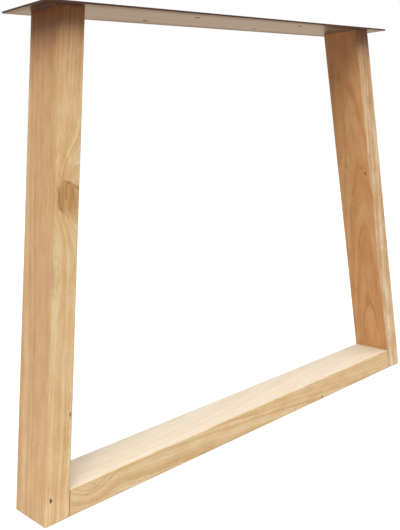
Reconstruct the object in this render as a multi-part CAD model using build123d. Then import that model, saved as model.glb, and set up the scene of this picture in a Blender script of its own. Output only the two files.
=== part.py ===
from build123d import *
import os
from math import atan, cos, degrees, radians, tan

# Oak table leg: two leaning uprights, a bottom rail between them and a steel head plate.
# Millimetres. X runs along the rail, Y is the depth of the timber, Z is up.
# The origin is on the floor, midway between the uprights.

# Overall frame
frame_height = 720.0
foot_width = 900.0  # across the outsides of the uprights at the floor
head_width = 730.0  # across the outsides of the uprights under the plate

# Planed oak
timber_depth = 80.0
upright_thickness = 40.0  # square to the length of an upright
rail_height = 40.0
edge_radius = 2.0  # hand-eased long edges
foot_chamfer = 0.8  # keeps the sawn feet from splintering

# Steel head plate
plate_thickness = 3.0
plate_end_overhang = 35.0
plate_side_overhang = 20.0
plate_corner_radius = 1.5
plate_edge_break = 0.3

# Holes for the bolts that hold the table top, in two staggered rows
top_bolt_diameter = 8.0
top_bolt_clearance = 0.5  # on the radius
top_bolt_spacing = 260.0
top_bolt_stagger = 30.0  # each row's middle from the middle of the plate
top_bolt_edge_inset = 30.0  # from the long edge of the plate

# Countersunk screws from the plate down into the uprights
screws_per_upright = 3
screw_edge_distance = 15.0  # of the outer screws from the faces of the timber
screw_length = 60.0
screw_neck_length = 19.0  # plain length under the head
screw_neck_diameter = 4.0
screw_thread_diameter = 5.0
screw_point_length = 6.0
screw_head_diameter = 9.6
screw_head_angle = 90.0
screw_head_rim = 0.3
screw_drive_size = 4.6
screw_drive_width = 1.1
screw_drive_depth = 1.6
screw_seat_gap = 0.05  # between the cone of the head and its countersink
screw_plate_clearance = 0.25  # round the thread, in the plate
screw_wood_clearance = 0.05  # round the thread and past the point, in the wood

# Fluted dowels in the joints between rail and uprights
dowels_per_joint = 2
dowel_edge_distance = 20.0  # from the faces of the timber
dowel_diameter = 10.0
dowel_length = 60.0
dowel_in_upright = 25.0
dowel_end_chamfer = 1.0
dowel_flutes = 12
dowel_flute_depth = 0.6
dowel_clearance = 0.05  # on the radius, for glue
dowel_end_room = 2.0  # for glue, past each end

# Worked out from the sizes above
standing = (Align.CENTER, Align.CENTER, Align.MIN)
timber_height = frame_height - plate_thickness
lean = (foot_width - head_width) / 2
lean_angle = degrees(atan(lean / timber_height))
lean_cosine = cos(atan(lean / timber_height))
upright_level_width = upright_thickness / lean_cosine
plate_length = head_width + 2 * plate_end_overhang
plate_width = timber_depth + 2 * plate_side_overhang
head_middle = (head_width - upright_level_width) / 2
rail_end_bottom = foot_width / 2 - upright_level_width
rail_end_top = rail_end_bottom - lean * rail_height / timber_height
joint_x = (rail_end_bottom + rail_end_top) / 2
joint_z = rail_height / 2
dowel_in_rail = dowel_length - dowel_in_upright


def across_timber(count, edge_distance):
    """Places along Y, evenly spread between two places near the faces of the timber."""
    step = (timber_depth - 2 * edge_distance) / max(count - 1, 1)
    return [(index - (count - 1) / 2) * step for index in range(count)]


def level_bar(outline):
    """A closed outline in X and Z, drawn out to the depth of the timber."""
    return extrude(make_face(Plane.XZ * outline), timber_depth / 2, both=True)


def joint_frames():
    """One frame for each dowel of the right-hand joint, Z pointing square into the upright."""
    frames = []
    for offset in across_timber(dowels_per_joint, dowel_edge_distance):
        frames.append(Location((joint_x, offset, joint_z), (0, 90 - lean_angle, 0)))
    return frames


def dowel_holes():
    """The drilled holes of one joint, through the joint face into both pieces."""
    radius = dowel_diameter / 2 + dowel_clearance
    depth = dowel_length + 2 * dowel_end_room
    hole = Cylinder(radius, depth, align=standing)
    return [frame * Pos(0, 0, -dowel_in_rail - dowel_end_room) * hole for frame in joint_frames()]


def dowel():
    """A fluted dowel, Z along its length and zero at the joint face."""
    radius = dowel_diameter / 2
    flute = RegularPolygon(dowel_flute_depth, 4)
    section = Circle(radius) - PolarLocations(radius, dowel_flutes) * flute
    blank = Cylinder(radius, dowel_length, align=standing)
    blank = chamfer(blank.edges().filter_by(GeomType.CIRCLE), dowel_end_chamfer)
    return Pos(0, 0, -dowel_in_rail) * (extrude(section, dowel_length) & blank)


def screw_places():
    """Where the screws of the right-hand upright stand, on the top face of the plate."""
    offsets = across_timber(screws_per_upright, screw_edge_distance)
    return [Pos(head_middle, offset, frame_height) for offset in offsets]


def screw_hole(clearance, depth):
    """A countersunk hole for one screw, zero at the top of the plate."""
    bore = screw_thread_diameter / 2 + clearance
    sunk = (screw_head_rim + screw_seat_gap) * tan(radians(screw_head_angle / 2))
    return CounterSinkHole(bore, screw_head_diameter / 2 + sunk, depth, screw_head_angle)


def screw():
    """A countersunk wood screw with a crossed drive, zero at the top of its head."""
    head = screw_head_diameter / 2
    neck = screw_neck_diameter / 2
    thread = screw_thread_diameter / 2
    head_depth = screw_head_rim + (head - neck) / tan(radians(screw_head_angle / 2))
    thread_start = head_depth + screw_neck_length
    point_start = screw_length - screw_point_length
    outline = Polyline(
        (0, 0), (head, 0), (head, -screw_head_rim), (neck, -head_depth), (neck, -thread_start),
        (thread, -thread_start), (thread, -point_start), (0, -screw_length), close=True,
    )
    slot = Rectangle(screw_drive_size, screw_drive_width)
    drive = extrude(slot + Rot(0, 0, 90) * slot, -screw_drive_depth)
    return revolve(make_face(Plane.XZ * outline), Axis.Z) - drive


def upright():
    """The right-hand upright, leaning inwards at the top and sawn level at both ends."""
    foot = foot_width / 2
    head = head_width / 2
    outline = Polyline(
        (foot - upright_level_width, 0), (foot, 0), (head, timber_height),
        (head - upright_level_width, timber_height), close=True,
    )
    bar = level_bar(outline)
    bar = chamfer(bar.faces().sort_by(Axis.Z)[0].edges(), foot_chamfer)
    bar = fillet(bar.edges().sort_by(SortBy.LENGTH)[-4:], edge_radius)
    for hole in dowel_holes():
        bar -= hole
    for place in screw_places():
        bar -= place * screw_hole(screw_wood_clearance, screw_length + screw_wood_clearance)
    return bar


def bottom_rail():
    """The rail between the uprights, its ends sawn to the lean of the uprights."""
    outline = Polyline(
        (-rail_end_bottom, 0), (rail_end_bottom, 0), (rail_end_top, rail_height),
        (-rail_end_top, rail_height), close=True,
    )
    bar = level_bar(outline)
    bar = fillet(bar.edges().filter_by(Axis.X), edge_radius)
    for hole in dowel_holes():
        bar -= hole
        bar -= mirror(hole, about=Plane.YZ)
    return bar


def top_bolt_places():
    """Centres of the table top's bolt holes: the back row is the front row turned half round."""
    row = plate_width / 2 - top_bolt_edge_inset
    places = []
    for turn in (1, -1):
        for end in (1, -1):
            along = turn * (top_bolt_stagger + end * top_bolt_spacing / 2)
            places.append(Pos(along, -turn * row, 0))
    return places


def head_plate():
    """The flat steel plate over both uprights."""
    outline = RectangleRounded(plate_length, plate_width, plate_corner_radius)
    outline -= top_bolt_places() * Circle(top_bolt_diameter / 2 + top_bolt_clearance)
    plate = Pos(0, 0, timber_height) * extrude(outline, plate_thickness)
    top = plate.faces().sort_by(Axis.Z)[-1].outer_wire()
    bottom = plate.faces().sort_by(Axis.Z)[0].outer_wire()
    plate = chamfer(top.edges() + bottom.edges(), plate_edge_break)
    for place in screw_places():
        hole = place * screw_hole(screw_plate_clearance, 2 * plate_thickness)
        plate -= hole
        plate -= mirror(hole, about=Plane.YZ)
    return plate


def both_sides(pieces):
    """The right-hand pieces and their mirror images, as one group of separate solids."""
    return Compound(children=pieces + [mirror(piece, about=Plane.YZ) for piece in pieces])


right_upright = upright()
nodes = {
    "left_upright": mirror(right_upright, about=Plane.YZ),
    "right_upright": right_upright,
    "bottom_rail": bottom_rail(),
    "head_plate": head_plate(),
    "joint_dowels": both_sides([frame * dowel() for frame in joint_frames()]),
    "plate_screws": both_sides([place * screw() for place in screw_places()]),
}

os.makedirs("parts", exist_ok=True)
for name, solid in nodes.items():
    export_step(solid, f"parts/{name}.step")
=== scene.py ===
"""An oak table leg: two leaning uprights, a bottom rail and a raw steel plate under the table top."""

import math
from collections import namedtuple

import bmesh
import bpy
from mathutils import Matrix, Vector

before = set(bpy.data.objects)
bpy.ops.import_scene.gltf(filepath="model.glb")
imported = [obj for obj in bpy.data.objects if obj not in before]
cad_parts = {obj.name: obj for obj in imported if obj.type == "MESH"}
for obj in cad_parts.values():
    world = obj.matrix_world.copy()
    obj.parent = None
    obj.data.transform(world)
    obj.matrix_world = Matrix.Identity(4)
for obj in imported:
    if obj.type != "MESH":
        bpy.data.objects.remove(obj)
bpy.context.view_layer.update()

# sizes of the leg, in metres

FOOT_WIDTH = 0.90
UPRIGHT_HEIGHT = 0.717
LEAN_IN = 0.085  # how far an upright's top stands inside its foot
LEAN = math.atan(LEAN_IN / UPRIGHT_HEIGHT)
THICKNESS = 0.04
DEPTH = 0.08
UPRIGHT_MIDDLE = FOOT_WIDTH / 2 - THICKNESS / 2 / math.cos(LEAN) - LEAN_IN / 2
EDGE_RADIUS = 0.002
PLATE_HALF = (0.40, 0.06, 0.0)  # along X and Y, from the middle
PAINTED_SHADE_DEPTH = 0.052  # how far below the plate its painted shade has faded to about a third


# a short way to write shader nodes


WHITE = (1, 1, 1)
MIDDLE_GREY = (0.5, 0.5, 0.5)
EULER = 2.718


def is_socket(value):
    return isinstance(value, bpy.types.NodeSocket)


class Sheet:
    """One node tree, with a method for each kind of node that the finishes use."""

    def __init__(self, tree):
        self.tree = tree

    def feed(self, inputs, values):
        """Links each value to the input of its name, or sets it there if it is a plain number or colour."""
        for name, value in values.items():
            if is_socket(value):
                self.tree.links.new(value, inputs[name])
            else:
                inputs[name].default_value = value

    def put(self, kind, sockets=None, **settings):
        made = self.tree.nodes.new(kind)
        for name, value in settings.items():
            setattr(made, name, value)
        self.feed(made.inputs, sockets or {})
        return made

    def use(self, group, **sockets):
        """A shared effect. An underscore in a socket's name stands for a space."""
        named = {name.replace("_", " "): value for name, value in sockets.items()}
        return self.put("ShaderNodeGroup", named, node_tree=group).outputs

    def math(self, operation, a, b=0.0, c=0.0):
        return self.put("ShaderNodeMath", {0: a, 1: b, 2: c}, operation=operation).outputs[0]

    def vector(self, operation, a, b=(0.0, 0.0, 0.0)):
        out = "Value" if operation == "LENGTH" else "Vector"
        return self.put("ShaderNodeVectorMath", {0: a, 1: b}, operation=operation).outputs[out]

    def scaled(self, vector, by):
        sockets = {"Vector": vector, "Scale": by}
        return self.put("ShaderNodeVectorMath", sockets, operation="SCALE").outputs["Vector"]

    def parts(self, vector):
        return self.put("ShaderNodeSeparateXYZ", {0: vector}).outputs

    def joined(self, x, y, z):
        return self.put("ShaderNodeCombineXYZ", {0: x, 1: y, 2: z}).outputs[0]

    def in_board(self, vector, middle, turned):
        """A place or a direction of the object in the directions of one of its boards."""
        sockets = {"Vector": vector, "Location": middle, "Rotation": (0, turned, 0)}
        return self.put("ShaderNodeMapping", sockets, vector_type="TEXTURE").outputs[0]

    def noise(self, vector, scale, detail=2.0, roughness=0.5):
        sockets = {"Vector": vector, "Scale": scale, "Detail": detail, "Roughness": roughness}
        return self.put("ShaderNodeTexNoise", sockets).outputs

    def stretched_noise(self, vector, stretch, detail=2.0, roughness=0.5):
        """Noise with its own number of cycles to a metre in each direction."""
        return self.noise(self.vector("MULTIPLY", vector, stretch), 1.0, detail, roughness)

    def noise_line(self, value, scale, detail):
        """Noise along one number, such as a count of years."""
        sockets = {"W": value, "Scale": scale, "Detail": detail}
        return self.put("ShaderNodeTexNoise", sockets, noise_dimensions="1D").outputs[0]

    def shift(self, noise, by):
        """Noise as a shift of at most half of by in each direction."""
        return self.scaled(self.vector("SUBTRACT", noise["Color"], MIDDLE_GREY), by)

    def spots(self, vector, stretch):
        """How far each place is from the middle of its cell, with the cells stretched."""
        sockets = {"Vector": self.vector("MULTIPLY", vector, stretch), "Scale": 1.0}
        return self.put("ShaderNodeTexVoronoi", sockets).outputs["Distance"]

    def step(self, value, low, high, to_low=0.0, to_high=1.0):
        """value, from low to high, eased into to_low to to_high."""
        sockets = {"Value": value, "From Min": low, "From Max": high, "To Min": to_low, "To Max": to_high}
        return self.put("ShaderNodeMapRange", sockets, interpolation_type="SMOOTHSTEP").outputs["Result"]

    def mix(self, mask, a, b, blend="MIX"):
        """Colour a, turned to colour b where the mask is 1. A plain colour is red, green and blue."""
        a, b = (value if is_socket(value) else (*value, 1) for value in (a, b))
        return self.put("ShaderNodeMix", {0: mask, 6: a, 7: b}, data_type="RGBA", blend_type=blend).outputs[2]

    def tinted(self, colour, mask, share, tint):
        """colour, multiplied by the tint as far as the mask and the share say."""
        return self.mix(self.math("MULTIPLY", mask, share), colour, tint, "MULTIPLY")

    def bump(self, strength, distance, height):
        sockets = {"Strength": strength, "Distance": distance, "Height": height}
        return self.put("ShaderNodeBump", sockets).outputs["Normal"]


KINDS = {"value": "NodeSocketFloat", "vector": "NodeSocketVector", "colour": "NodeSocketColor"}


def new_group(name, inputs, outputs):
    """A shader node group with named sockets. Returns the group, its sheet, its inputs and its outputs."""
    group = bpy.data.node_groups.new(name, "ShaderNodeTree")
    for title, kind, start in inputs:
        socket = group.interface.new_socket(name=title, in_out="INPUT", socket_type=KINDS[kind])
        socket.default_value = start
    for title, kind in outputs:
        group.interface.new_socket(name=title, in_out="OUTPUT", socket_type=KINDS[kind])
    sheet = Sheet(group)
    return group, sheet, sheet.put("NodeGroupInput").outputs, sheet.put("NodeGroupOutput").inputs


def empty_material(name):
    """A material without nodes, and its sheet."""
    material = bpy.data.materials.new(name)
    material.use_nodes = True
    material.node_tree.nodes.clear()
    return material, Sheet(material.node_tree)


def finish_material(name):
    """A material with only a Principled shader. Returns the material, its sheet and the shader's inputs."""
    material, sheet = empty_material(name)
    shader = sheet.put("ShaderNodeBsdfPrincipled")
    sheet.put("ShaderNodeOutputMaterial", {"Surface": shader.outputs["BSDF"]})
    return material, sheet, shader.inputs


# shared effects, made once


def make_knot():
    """A knot: it pushes the growth rings aside, and has a heart and a dark, ragged rim.

    Slant lifts the side of its upper half that lies towards negative X, and Narrow draws that side in.
    """
    group, s, i, o = new_group(
        "knot",
        [
            ("Vector", "vector", (0, 0, 0)),
            ("Centre", "vector", (0, 0, 0)),
            ("Reach", "vector", (0.01, 0.03, 0.02)),
            ("Slant", "value", 0.0),
            ("Narrow", "value", 0.0),
        ],
        [("Push", "value"), ("Heart", "value"), ("Rim", "value")],
    )
    shape = s.vector("DIVIDE", s.vector("SUBTRACT", i["Vector"], i["Centre"]), i["Reach"])

    # the rings give way well beyond the knot itself
    wide = s.vector("LENGTH", s.vector("MULTIPLY", shape, (0.6, 1.0, 0.55)))
    push = s.math("POWER", EULER, s.math("MULTIPLY", s.math("MULTIPLY", wide, wide), -0.9))

    # its outline
    left = s.math("MINIMUM", s.parts(shape)["X"], 0.0)
    shape = s.vector("ADD", shape, s.joined(s.math("MULTIPLY", left, i["Narrow"]), 0.0, 0.0))
    upper = s.step(s.parts(shape)["Z"], -0.3, 0.5)
    lift = s.math("MULTIPLY", s.math("MULTIPLY", s.parts(shape)["X"], i["Slant"]), upper)
    shape = s.vector("ADD", shape, s.joined(0.0, 0.0, lift))
    own_place = s.vector("ADD", s.scaled(shape, 0.9), s.scaled(i["Centre"], 40.0))
    ragged = s.shift(s.noise(own_place, 1.0), 0.2)
    away = s.vector("LENGTH", s.vector("ADD", shape, ragged))

    # heart and rim fade into the wood at the knot's lower end
    open_below = s.step(s.parts(shape)["Z"], -1.0, -0.35, 0.25, 1.0)
    heart = s.math("MULTIPLY", s.step(away, 1.02, 0.80), open_below)
    patchy = s.step(s.noise(s.scaled(shape, 1.1), 1.0)[0], 0.35, 0.6, 0.25, 1.0)
    rim = s.math("MULTIPLY", s.step(away, 1.16, 1.0), s.step(away, 0.76, 1.0))
    rim = s.math("MULTIPLY", s.math("MULTIPLY", rim, patchy), open_below)
    s.feed(o, {"Push": push, "Heart": heart, "Rim": rim})
    return group


def make_rings():
    """Growth rings round a pith that leans a little through the board: dark porous bands on paler wood."""
    group, s, i, o = new_group(
        "growth rings",
        [
            ("Vector", "vector", (0, 0, 0)),
            ("Pith", "vector", (0.1, 0, 0)),
            ("Pith Lean", "vector", (0.05, 0, 0)),
            ("Ring Width", "value", 0.0035),
            ("Wander", "value", 1.0),
            ("Push", "value", 0.0),
        ],
        [("Rings", "value"), ("Bands", "value"), ("Tone", "value")],
    )
    slow = s.shift(s.stretched_noise(i["Vector"], (9, 9, 2.2)), s.math("MULTIPLY", i["Wander"], 0.02))
    quick = s.shift(s.stretched_noise(i["Vector"], (60, 60, 14), 3), s.math("MULTIPLY", i["Wander"], 0.0024))
    pith = s.vector("ADD", i["Pith"], s.scaled(i["Pith Lean"], s.parts(i["Vector"])["Z"]))
    wandered = s.vector("ADD", s.vector("ADD", i["Vector"], slow), quick)
    from_pith = s.vector("MULTIPLY", s.vector("SUBTRACT", wandered, pith), (1, 1, 0))
    years = s.math("ADD", s.math("DIVIDE", s.vector("LENGTH", from_pith), i["Ring Width"]), i["Push"])
    bands = s.step(s.noise_line(years, 0.42, 2), 0.34, 0.66)

    # each ring is dark where it starts, and rings differ in width and depth of colour
    uneven = s.noise_line(years, 0.9, 1)
    years = s.math("ADD", years, s.math("MULTIPLY", uneven, 1.6))
    age = s.math("FRACT", years)
    early = s.math("MULTIPLY", s.step(age, 0.0, 0.10), s.step(age, 0.62, 0.12))
    whole_years = {"W": s.math("FLOOR", years)}
    tone = s.put("ShaderNodeTexWhiteNoise", whole_years, noise_dimensions="1D").outputs["Value"]
    rings = s.math("MULTIPLY", early, s.math("MULTIPLY_ADD", tone, 0.6, 0.55))
    s.feed(o, {"Rings": rings, "Bands": bands, "Tone": tone})
    return group


def make_fibre():
    """What runs along the grain whatever the rings do, from broad streaks to open pores and pale flecks."""
    outputs = ("Streaks", "Fibre", "Pores", "Flecks", "Dashes", "Patches", "Warmth", "Fade")
    group, s, i, o = new_group(
        "wood fibre",
        [("Vector", "vector", (0, 0, 0)), ("Rings", "value", 0.0), ("Seed", "value", 0.0)],
        [(name, "value") for name in outputs],
    )
    moved = s.vector("ADD", i["Vector"], s.joined(i["Seed"], i["Seed"], 0.0))
    bent = s.vector("ADD", moved, s.shift(s.stretched_noise(moved, (6, 6, 5), 1), 0.012))

    def along(across, lengthwise, detail=2.0, roughness=0.5):
        return s.stretched_noise(bent, (across, across, lengthwise), detail, roughness)[0]

    def cells(across, lengthwise):
        return s.spots(bent, (across, across, lengthwise))

    # pores lie in the rings' dark wood, flecks and dashes come in groups
    pore_depth = s.math("MULTIPLY_ADD", i["Rings"], 0.9, 0.12)
    fleck_groups = s.step(along(24, 10, 1), 0.45, 0.62)
    dash_groups = s.step(along(40, 12, 1), 0.42, 0.66)
    s.feed(o, {
        "Streaks": s.step(along(120, 7.5, 3, 0.6), 0.3, 0.7),
        "Fibre": along(900, 22, 3, 0.6),
        "Pores": s.math("MULTIPLY", s.step(cells(1500, 90), 0.42, 0.2), pore_depth),
        "Flecks": s.math("MULTIPLY", s.step(cells(260, 46), 0.34, 0.16), fleck_groups),
        "Dashes": s.math("MULTIPLY", s.step(cells(250, 85), 0.40, 0.12), dash_groups),
        "Patches": s.step(along(55, 24, 3), 0.36, 0.66),
        "Warmth": s.step(along(75, 5), 0.33, 0.67),
        "Fade": s.step(along(70, 15), 0.40, 0.64),
    })
    return group


def make_long_edges():
    """How near a point of a board is to one of its four long edges."""
    group, s, i, o = new_group("long edges", [("Vector", "vector", (0, 0, 0))], [("Edge", "value")])
    half_size = (THICKNESS / 2, DEPTH / 2, 0.0)
    gap = s.parts(s.vector("SUBTRACT", half_size, s.vector("ABSOLUTE", i["Vector"])))
    ragged = s.stretched_noise(i["Vector"], (200, 200, 30), 3)[0]
    uneven = s.math("MULTIPLY", s.math("SUBTRACT", ragged, 0.5), EDGE_RADIUS)
    reach = s.math("ADD", s.math("ADD", gap["X"], gap["Y"]), uneven)
    s.feed(o, {"Edge": s.step(reach, EDGE_RADIUS * 1.5, EDGE_RADIUS * 0.4)})
    return group


def make_face_tones_with_painted_light():
    """Each face of a board has its own tone and strength of figure, partly because it is cut another way and
    partly as painted light and shade: some faces are set lighter or darker than the wood to stand in for how
    the lamps light them.
    """
    faces = ("Outer", "Inner", "Front", "Back", "Ends")
    tones = [(name, "colour", (*WHITE, 1)) for name in faces]
    strengths = [(name + " Figure", "value", 1.0) for name in faces]
    group, s, i, o = new_group(
        "face tones with painted light",
        [("Normal", "vector", (0, 0, 1))] + tones + strengths,
        [("Colour", "colour"), ("Figure", "value")],
    )
    normal = s.parts(i["Normal"])
    toward = {
        "Outer": s.math("MAXIMUM", s.math("MULTIPLY", normal["X"], -1.0), 0.0),
        "Inner": s.math("MAXIMUM", normal["X"], 0.0),
        "Front": s.math("MAXIMUM", s.math("MULTIPLY", normal["Y"], -1.0), 0.0),
        "Back": s.math("MAXIMUM", normal["Y"], 0.0),
        "Ends": s.math("ABSOLUTE", normal["Z"]),
    }
    colour, figure = (0.0, 0.0, 0.0), 0.0
    for name in faces:
        share = s.math("MULTIPLY", toward[name], toward[name])
        colour = s.vector("ADD", colour, s.scaled(i[name], share))
        figure = s.math("MULTIPLY_ADD", i[name + " Figure"], share, figure)
    s.feed(o, {"Colour": colour, "Figure": figure})
    return group


def make_painted_plate_shade():
    """Painted shade under the plate: the wood is darkened and browned just below it, where its shadow falls;
    strongest at the plate, and faint 0.1 m below it.
    """
    group, s, i, o = new_group("painted shade under the plate", [("Vector", "vector", (0, 0, 0))], [("Painted Shade", "value")])
    below = s.math("SUBTRACT", UPRIGHT_HEIGHT, s.parts(i["Vector"])["Z"])
    ragged = s.stretched_noise(i["Vector"], (70, 70, 9))[0]
    below = s.math("MULTIPLY", below, s.math("MULTIPLY_ADD", ragged, 0.6, 0.7))
    s.feed(o, {"Painted Shade": s.math("POWER", EULER, s.math("DIVIDE", below, -PAINTED_SHADE_DEPTH))})
    return group


KNOT = make_knot()
RINGS = make_rings()
FIBRE = make_fibre()
LONG_EDGES = make_long_edges()
FACE_TONES_WITH_PAINTED_LIGHT = make_face_tones_with_painted_light()
PAINTED_PLATE_SHADE = make_painted_plate_shade()


# oak


# Tints that the figure multiplies the wood by, each at its mask's full strength.
WARM = (1.03, 0.94, 0.86)
STREAK = (0.84, 0.76, 0.66)
PATCH = (0.86, 0.76, 0.63)
BAND = (0.80, 0.64, 0.47)
DASH = (0.74, 0.60, 0.44)
EARLY_WOOD = (0.74, 0.56, 0.38)
DARK_YEAR = (0.86, 0.78, 0.66)
FIBRE_SHADE = (0.80, 0.70, 0.58)
OPEN_PORE = (0.46, 0.31, 0.18)
# painted shade: the rounded long edges are darkened a little, to tone down the light they catch
PAINTED_EDGE_SHADE = (0.88, 0.83, 0.76)
# painted shade: the brown that darkens the wood just below the plate, where its shadow falls
PAINTED_SHADE_BROWN = (0.50, 0.27, 0.19)

# Colours that cover the wood.
RAY_FLECK = (0.95, 0.80, 0.58)
KNOT_PALE = (0.66, 0.37, 0.14)
KNOT_DARK = (0.40, 0.19, 0.055)
KNOT_RIM = (0.28, 0.115, 0.030)
DEAD_KNOT = (0.16, 0.070, 0.022)

# A knot's place and size in its board, how many rings it pushes aside, and how strongly its heart, its
# rim and its dead, dark heart show. One with only a push lies hidden in the board and bends the rings.
# Slant and narrow shape its outline.
Knot = namedtuple("Knot", "centre reach push heart rim dead slant narrow", defaults=(0.0,) * 6)


def on_front(x, z):
    """A place on a board's front face, X across it and Z along it from its middle."""
    return (x, -DEPTH / 2, z)


def knot_masks(s, board, knots):
    """The push on the rings, and the masks of heart, rim and dead heart, of all the knots together."""
    push, heart, rim, dead = 0.0, 0.0, 0.0, 0.0
    for knot in knots:
        made = s.use(
            KNOT, Vector=board, Centre=knot.centre, Reach=knot.reach, Slant=knot.slant, Narrow=knot.narrow
        )
        push = s.math("MULTIPLY_ADD", made["Push"], knot.push, push)
        heart = s.math("MAXIMUM", s.math("MULTIPLY", made["Heart"], knot.heart), heart)
        rim = s.math("MAXIMUM", s.math("MULTIPLY", made["Rim"], knot.rim), rim)
        dead = s.math("MAXIMUM", s.math("MULTIPLY", made["Heart"], knot.dead), dead)
    return push, heart, rim, dead


def oak_figure(s, rings, fibre, unbroken):
    """White, darkened by all that makes the wood's figure."""
    lines = s.math("MULTIPLY", rings["Rings"], s.math("MAXIMUM", fibre["Fade"], unbroken))
    figure = WHITE
    for mask, share, tint in (
        (fibre["Warmth"], 0.65, WARM),
        (fibre["Streaks"], 0.50, STREAK),
        (fibre["Patches"], 0.75, PATCH),
        (rings["Bands"], 0.75, BAND),
        (fibre["Dashes"], 0.60, DASH),
        (lines, 0.55, EARLY_WOOD),
        (rings["Tone"], 0.18, DARK_YEAR),
        (s.step(fibre["Fibre"], 0.35, 0.75, 0.0, 0.3), 1.0, FIBRE_SHADE),
        (fibre["Pores"], 0.50, OPEN_PORE),
    ):
        figure = s.tinted(figure, mask, share, tint)
    return figure


def oak(name, middle, turned, faces, growth, seed, knots, painted_shade_shares=None, unbroken=0.0):
    """Planed oak for one board, as a solid pattern in the board's own directions.

    These are X through its thickness, Y through its depth and Z along the grain, from its middle.
    faces gives each face its colour and, as a fourth number, how strong its figure is; part of these colours
    is painted light and shade on the faces.
    growth is what the growth rings need to know of the tree.
    The painted shade shares, for the sides and the front, say how much painted shade darkens the wood just
    below the plate, where the plate's shadow falls.
    unbroken is how dark the rings stay where they are faintest.
    """
    material, s, shader = finish_material(name)
    place = s.put("ShaderNodeTexCoord").outputs
    board = s.in_board(place["Object"], middle, turned)
    facing = s.in_board(place["Normal"], (0, 0, 0), turned)

    push, heart, rim, dead = knot_masks(s, board, knots)
    rings = s.use(RINGS, Vector=board, Push=push, **growth)
    fibre = s.use(FIBRE, Vector=board, Rings=rings["Rings"], Seed=seed)
    edge = s.use(LONG_EDGES, Vector=board)["Edge"]
    tones = {face: (*value[:3], 1) for face, value in faces.items()}
    strengths = {face + "_Figure": value[3] for face, value in faces.items()}
    tone = s.use(FACE_TONES_WITH_PAINTED_LIGHT, Normal=facing, **tones, **strengths)

    figure = {"Color": oak_figure(s, rings, fibre, unbroken), "Gamma": tone["Figure"]}
    figure = s.put("ShaderNodeGamma", figure).outputs[0]
    colour = s.mix(1.0, tone["Colour"], figure, "MULTIPLY")
    colour = s.mix(s.math("MULTIPLY", fibre["Flecks"], 0.12), colour, RAY_FLECK)
    # painted shade: the rounded long edges are darkened a little, to tone down the light they catch
    colour = s.tinted(colour, edge, 0.6, PAINTED_EDGE_SHADE)
    colour = s.mix(heart, colour, s.mix(fibre["Streaks"], KNOT_PALE, KNOT_DARK))
    colour = s.mix(rim, colour, KNOT_RIM)
    colour = s.mix(dead, colour, DEAD_KNOT)
    # painted shade: the wood just below the plate is darkened and browned where the plate's shadow falls,
    # with its own share on the sides and on the front
    if painted_shade_shares:
        on_sides, front_share = painted_shade_shares
        front = s.math("MAXIMUM", s.math("MULTIPLY", s.parts(facing)["Y"], -1.0), 0.0)
        share = s.math("MULTIPLY_ADD", front, front_share - on_sides, on_sides)
        colour = s.tinted(colour, s.use(PAINTED_PLATE_SHADE, Vector=place["Object"])["Painted Shade"], share, PAINTED_SHADE_BROWN)

    rough = s.math("MULTIPLY_ADD", fibre["Fibre"], 0.16, 0.46)
    rough = s.math("MULTIPLY_ADD", rings["Rings"], 0.08, rough)
    rough = s.math("MULTIPLY_ADD", edge, -0.06, rough)
    height = s.math("MULTIPLY", rings["Rings"], -0.2)
    height = s.math("MULTIPLY_ADD", fibre["Pores"], -1.0, height)
    height = s.math("MULTIPLY_ADD", fibre["Fibre"], 0.7, height)
    s.feed(shader, {
        "Base Color": colour,
        "Roughness": rough,
        "Normal": s.bump(0.35, 0.0004, height),
        "IOR": 1.45,
        "Specular IOR Level": 0.35,
    })
    return material


BACK_AND_ENDS = {"Back": (0.88, 0.70, 0.44, 0.8), "Ends": (0.42, 0.26, 0.12, 1.0)}

oak_left = oak(
    "oak of the left upright",
    middle=(-UPRIGHT_MIDDLE, 0, UPRIGHT_HEIGHT / 2),
    turned=LEAN,
    faces={
        "Outer": (0.802, 0.557, 0.313, 0.60),
        "Inner": (0.80, 0.56, 0.31, 0.7),
        "Front": (0.880, 0.698, 0.435, 0.80),
        **BACK_AND_ENDS,
    },
    growth=dict(Pith=(0.09, 0.12, 0), Pith_Lean=(0.02, 0.004, 0), Ring_Width=0.0036, Wander=1.0),
    seed=0.13,
    painted_shade_shares=(1.0, 1.0),
    knots=[
        # the large knot, two dark streaks inside it and a faint halo above it
        Knot(on_front(0.0084, 0.0914), (0.0400, 0.030, 0.0225), heart=0.75, rim=0.8, slant=0.61, narrow=0.75),
        Knot(on_front(-0.0020, 0.1030), (0.0026, 0.030, 0.0140), heart=0.4, dead=0.35),
        Knot(on_front(0.0085, 0.0980), (0.0030, 0.030, 0.0140), heart=0.4, dead=0.25),
        Knot(on_front(0.006, 0.117), (0.0190, 0.030, 0.0250), heart=0.22, rim=0.15),
        # what bends the rings round it
        Knot(on_front(0.006, 0.0905), (0.0225, 0.030, 0.0245), push=-3.4),
        Knot(on_front(0.004, 0.124), (0.0150, 0.030, 0.0240), push=-3.0),
        # the pin knot at the foot, and the small one at the inner edge
        Knot(
            on_front(-0.0115, -0.327), (0.0021, 0.012, 0.0034),
            push=-0.9, heart=1.0, rim=0.9, dead=1.0, slant=0.6,
        ),
        Knot(on_front(0.0158, -0.211), (0.0020, 0.012, 0.0034), push=-1.1, heart=0.8, rim=0.7, dead=0.45),
    ],
)
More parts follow.
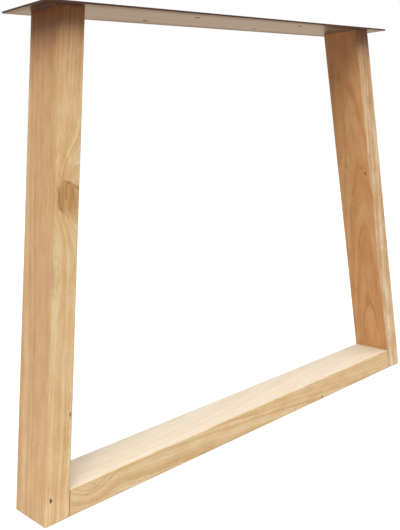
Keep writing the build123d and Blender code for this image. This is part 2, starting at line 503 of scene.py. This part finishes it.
oak_right = oak(
    "oak of the right upright",
    middle=(UPRIGHT_MIDDLE, 0, UPRIGHT_HEIGHT / 2),
    turned=-LEAN,
    faces={
        # Outer is the face towards the left upright: its darker, redder tone and the paler front are painted
        # shade and light, set by how the lamps fall on them.
        "Outer": (0.761, 0.437, 0.208, 0.70),
        "Inner": (0.82, 0.59, 0.34, 0.8),
        "Front": (0.924, 0.790, 0.588, 1.3),
        **BACK_AND_ENDS,
    },
    growth=dict(Pith=(0.05, -0.010, 0), Pith_Lean=(0.046, 0.0, 0), Ring_Width=0.0040, Wander=0.9),
    seed=0.71,
    painted_shade_shares=(0.35, 1.0),
    knots=[
        # a small one on the face towards the left upright, and a dot at the foot
        Knot(
            (-THICKNESS / 2, -0.0289, 0.0706), (0.012, 0.0030, 0.0042),
            push=-1.0, heart=0.6, rim=0.7, dead=0.5,
        ),
        Knot(on_front(0.0188, -0.337), (0.0014, 0.010, 0.0022), push=-0.7, heart=0.8, rim=0.8, dead=0.8),
    ],
)
oak_rail = oak(
    "oak of the bottom rail",
    middle=(0, 0, THICKNESS / 2),
    turned=math.pi / 2,
    faces={
        # Outer is the top: its darker, greyer tone and faint figure are painted shade that offsets the strong
        # light from above.
        "Outer": (0.522, 0.458, 0.368, 0.2),
        "Inner": (0.80, 0.62, 0.38, 0.7),
        "Front": (0.822, 0.651, 0.403, 0.65),
        **BACK_AND_ENDS,
    },
    growth=dict(Pith=(0.06, 0.05, 0), Pith_Lean=(0.060, 0.010, 0), Ring_Width=0.0026, Wander=1.0),
    seed=0.37,
    unbroken=0.75,
    knots=[
        # a dot near the lower edge, and the hidden knot that bowls the rings at the left end
        Knot(on_front(0.0160, 0.174), (0.0024, 0.012, 0.0036), push=0.9, heart=0.6, rim=0.5, dead=0.35),
        Knot(on_front(-0.024, -0.370), (0.017, 0.050, 0.016), push=8.0),
    ],
)


# steel, zinc and beech


SCALE_DARK = (0.40, 0.325, 0.265)
SCALE_PALE = (0.48, 0.390, 0.320)
ROLL_STREAK = (0.30, 0.235, 0.195)
RUST_SPECK = (0.27, 0.19, 0.15)
RIM_SHADE = (0.50, 0.40, 0.34)
RUST_DARK = (0.045, 0.024, 0.018)
RUST_PALE = (0.085, 0.047, 0.034)
STEEL_TINT = (0.63, 0.485, 0.350)


def raw_steel():
    """Hot rolled plate: warm grey scale, lengthwise streaks, a darker rim and brown rust on cut edges."""
    material, s, shader = finish_material("raw steel")
    place = s.put("ShaderNodeTexCoord").outputs
    at = place["Object"]
    roll = s.stretched_noise(at, (3, 90, 90), 4, 0.6)[0]
    cloud = s.stretched_noise(at, (14, 22, 22), 4, 0.55)[0]
    speck = s.noise(at, 420, 3, 0.6)[0]
    colour = s.mix(s.step(cloud, 0.3, 0.7), SCALE_DARK, SCALE_PALE)
    colour = s.mix(s.step(roll, 0.35, 0.7, 0.0, 0.55), colour, ROLL_STREAK)
    colour = s.mix(s.step(speck, 0.56, 0.72, 0.0, 0.35), colour, RUST_SPECK)

    gap = s.parts(s.vector("SUBTRACT", PLATE_HALF, s.vector("ABSOLUTE", at)))
    rim_width = s.math("MULTIPLY_ADD", cloud, 0.02, 0.016)
    rim = s.step(s.math("MINIMUM", gap["X"], gap["Y"]), rim_width, 0.0)
    colour = s.mix(rim, colour, RIM_SHADE, "MULTIPLY")
    cut = s.step(s.math("ABSOLUTE", s.parts(place["Normal"])["Z"]), 0.85, 0.35)
    colour = s.mix(cut, colour, s.mix(s.step(speck, 0.35, 0.65), RUST_DARK, RUST_PALE))

    rough = s.math("MULTIPLY_ADD", cut, 0.25, s.math("MULTIPLY_ADD", cloud, 0.2, 0.25))
    height = s.math("MULTIPLY_ADD", speck, 0.6, s.math("MULTIPLY", roll, 0.4))
    s.feed(shader, {
        "Base Color": colour,
        "Metallic": s.math("MULTIPLY_ADD", cut, -0.5, 0.75),
        "Roughness": rough,
        "Specular Tint": (*STEEL_TINT, 1),
        "Normal": s.bump(0.3, 0.0002, height),
    })
    return material


def zinc_steel():
    """Zinc plated screw heads: bright, slightly cloudy, with fine turning marks."""
    material, s, shader = finish_material("zinc plated steel")
    at = s.put("ShaderNodeTexCoord").outputs["Object"]
    marks = s.stretched_noise(at, (300, 300, 4000))[0]
    s.feed(shader, {
        "Base Color": s.mix(s.noise(at, 500, 3)[0], (0.62, 0.63, 0.64), (0.74, 0.74, 0.72)),
        "Roughness": s.math("MULTIPLY_ADD", marks, 0.2, 0.22),
        "Metallic": 1.0,
    })
    return material


def beech():
    """Beech dowels: pinkish pale wood with short brown flecks."""
    material, s, shader = finish_material("beech")
    at = s.put("ShaderNodeTexCoord").outputs["Object"]
    grain = s.stretched_noise(at, (30, 700, 700), 3)[0]
    s.feed(shader, {
        "Base Color": s.mix(s.step(grain, 0.4, 0.7), (0.70, 0.50, 0.33), (0.52, 0.33, 0.20)),
        "Roughness": s.math("MULTIPLY_ADD", grain, 0.2, 0.5),
    })
    return material


for node, material in (
    ("left_upright", oak_left),
    ("right_upright", oak_right),
    ("bottom_rail", oak_rail),
    ("head_plate", raw_steel()),
    ("plate_screws", zinc_steel()),
    ("joint_dowels", beech()),
):
    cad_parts[node].data.materials.clear()
    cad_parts[node].data.materials.append(material)


# floor, world and lights


FLOOR_HALF = 14.0
FLOOR_GREY = 0.2  # under the glow, where the camera sees the floor
BOUNCE_NEAR, BOUNCE_FAR = 0.46, 0.15  # how much light the floor sends back to the leg
SHADED_GLOW = 0.86  # the floor's own white near the leg; it is 1 farther out
AMBIENT = 0.02
BOX_DISTANCE = 6.0
BOX_SIZE = 3.6
BOX_TARGET = Vector((0, 0, 0.36))


def white_ray(s):
    """1 for the rays that see a white studio: from the camera, and those that shine or pass through."""
    path = s.put("ShaderNodeLightPath").outputs
    seen = s.math("MAXIMUM", path["Is Camera Ray"], path["Is Glossy Ray"])
    return s.math("MAXIMUM", seen, path["Is Transmission Ray"])


def flat_stage():
    """A wide pale floor. The camera sees it white, with the object's soft shadow on it."""
    shape = bmesh.new()
    bmesh.ops.create_grid(shape, x_segments=1, y_segments=1, size=FLOOR_HALF)
    mesh = bpy.data.meshes.new("floor")
    shape.to_mesh(mesh)
    shape.free()
    floor = bpy.data.objects.new("floor", mesh)
    bpy.context.scene.collection.objects.link(floor)
    material, s = empty_material("pale floor")
    seen = white_ray(s)
    away = s.vector("LENGTH", s.put("ShaderNodeTexCoord").outputs["Object"])
    bounce = s.step(away, 0.55, 1.5, BOUNCE_NEAR, BOUNCE_FAR)
    share = s.math("MULTIPLY_ADD", s.math("SUBTRACT", FLOOR_GREY, bounce), seen, bounce)
    matt = s.put("ShaderNodeBsdfDiffuse", {"Color": s.joined(share, share, share)})
    strength = s.math("MULTIPLY", seen, s.step(away, 0.7, 2.2, SHADED_GLOW, 1.0))
    glow = s.put("ShaderNodeEmission", {"Strength": strength})
    both = s.put("ShaderNodeAddShader", {0: matt.outputs[0], 1: glow.outputs[0]})
    s.put("ShaderNodeOutputMaterial", {"Surface": both.outputs[0]})
    mesh.materials.append(material)


def studio_world():
    """White to the camera and in reflections, and a soft even light on the object."""
    world = bpy.data.worlds.new("studio")
    bpy.context.scene.world = world
    world.use_nodes = True
    world.node_tree.nodes.clear()
    s = Sheet(world.node_tree)
    strength = s.math("MULTIPLY_ADD", white_ray(s), 1.0 - AMBIENT, AMBIENT)
    back = s.put("ShaderNodeBackground", {"Color": (*WHITE, 1), "Strength": strength})
    s.put("ShaderNodeOutputWorld", {"Surface": back.outputs[0]})


def softbox(name, bearing, height, power):
    """A square area lamp that looks at the middle of the leg. Metal reflects the white studio, not the lamp.

    bearing is in degrees from the left end towards the front, height in degrees above the floor.
    """
    lamp = bpy.data.lights.new(name, "AREA")
    lamp.shape = "SQUARE"
    lamp.size = BOX_SIZE
    lamp.energy = power
    holder = bpy.data.objects.new(name, lamp)
    bpy.context.scene.collection.objects.link(holder)
    around, above = math.radians(bearing), math.radians(height)
    flat = math.cos(above)
    direction = Vector((-math.cos(around) * flat, -math.sin(around) * flat, math.sin(above)))
    holder.location = BOX_TARGET + direction * BOX_DISTANCE
    holder.rotation_mode = "QUATERNION"
    holder.rotation_quaternion = direction.to_track_quat("Z", "Y")
    holder.visible_glossy = False


flat_stage()
studio_world()
softbox("left softbox", bearing=30, height=50, power=258)
softbox("front softbox", bearing=60, height=65, power=285)
softbox("right softbox", bearing=150, height=60, power=230)
softbox("back softbox", bearing=260, height=45, power=190)


# camera, where the photographer stood


CAMERA_PLACE = (-0.941709, -0.914534, 0.543571)
YAW, PITCH, ROLL = 0.751435, -0.10015, -0.051325
FOCAL_PIXELS = 740.46
FRAME_HEIGHT = 530
SENSOR = 36.0
MIDDLE_ROW = 200.0  # the row of the picture that the lens looks at
NEAREST, FARTHEST = 0.05, 60.0

ahead = Vector((math.sin(YAW) * math.cos(PITCH), math.cos(YAW) * math.cos(PITCH), math.sin(PITCH)))
level = Vector((math.cos(YAW), -math.sin(YAW), 0))
upward = level.cross(ahead)
across = level * math.cos(ROLL) + upward * math.sin(ROLL)
upward = upward * math.cos(ROLL) - level * math.sin(ROLL)

lens = bpy.data.cameras.new("camera")
lens.sensor_width = SENSOR
lens.lens = FOCAL_PIXELS * SENSOR / FRAME_HEIGHT
lens.shift_y = (MIDDLE_ROW - FRAME_HEIGHT / 2) / FRAME_HEIGHT
lens.clip_start = NEAREST
lens.clip_end = FARTHEST
camera = bpy.data.objects.new("camera", lens)
bpy.context.scene.collection.objects.link(camera)
camera.matrix_world = Matrix((across, upward, -ahead)).transposed().to_4x4()
camera.location = CAMERA_PLACE
bpy.context.scene.camera = camera
bpy.context.scene.view_settings.view_transform = "Standard"
